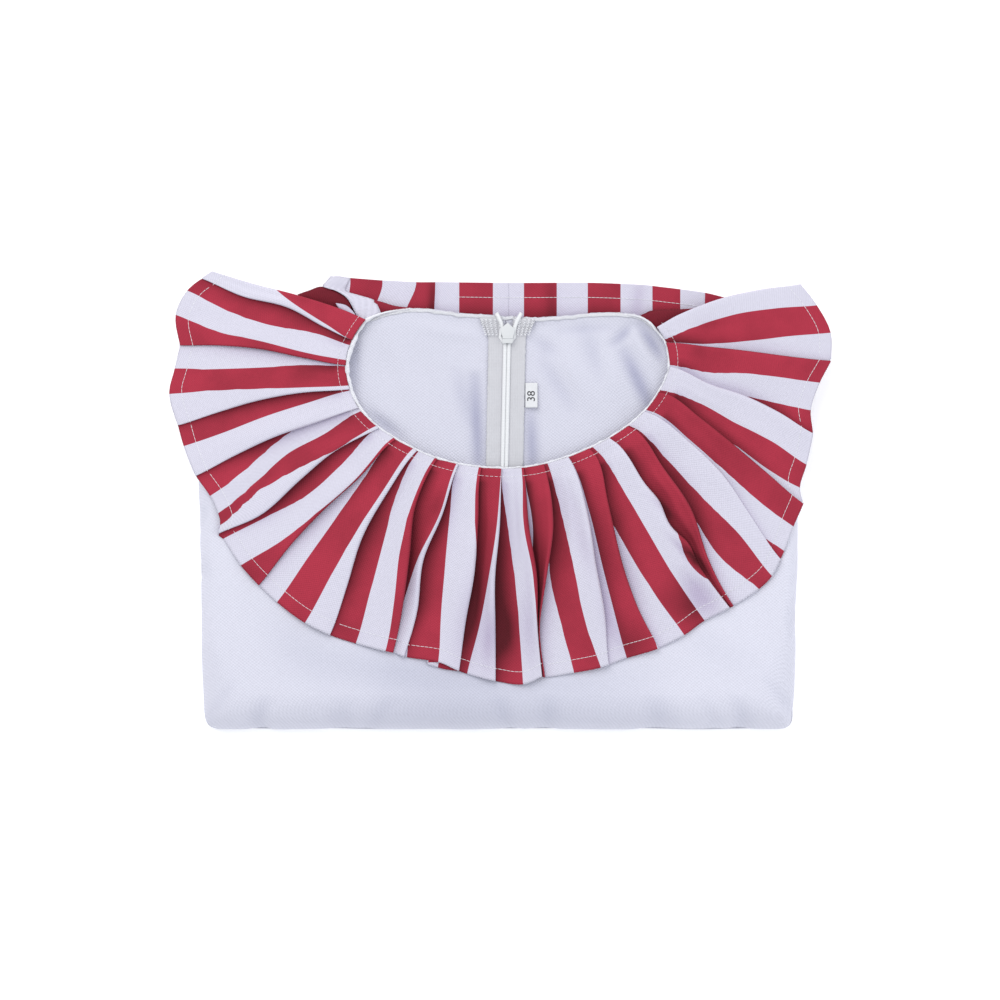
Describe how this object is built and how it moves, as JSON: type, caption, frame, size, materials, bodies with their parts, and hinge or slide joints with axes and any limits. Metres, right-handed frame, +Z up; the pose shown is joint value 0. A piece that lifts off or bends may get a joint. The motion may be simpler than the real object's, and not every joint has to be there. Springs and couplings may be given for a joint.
{
  "type": "folded clown costume",
  "caption": "White twill clown costume folded into a flat pack, with a wide striped pleated ruffle round the low neck and a back zip seen through it.",
  "frame": {"origin": "on the surface it lies on, under the middle of the whole outline", "axes": "+Z up from the surface through the folded front, +Y from the bottom fold towards the neck, +X to the right across the shoulders as seen from above"},
  "size_m": [0.4118, 0.2863, 0.0318],
  "materials": {
    "white_twill": "matt cotton and polyester twill with a fine diagonal line",
    "striped_twill": "matt twill woven in red and white stripes 20 mm wide",
    "zip_tape": "matt woven polyester tape",
    "zip_coil": "smooth nylon coil, and a painted slider",
    "woven_label": "fine woven satin label"
  },
  "bodies": {
    "root": {"folded_layers": "white_twill", "front_panel": "white_twill", "back_panel_left": "white_twill", "back_panel_right": "white_twill", "ruffle_front": "striped_twill", "ruffle_back_left": "striped_twill", "ruffle_back_right": "striped_twill", "zip_tape_left": "zip_tape", "zip_tape_right": "zip_tape", "zip_rail_left": "zip_coil", "zip_rail_right": "zip_coil", "zip_slider": "zip_coil", "size_label": "woven_label"}
  },
  "joints": []
}
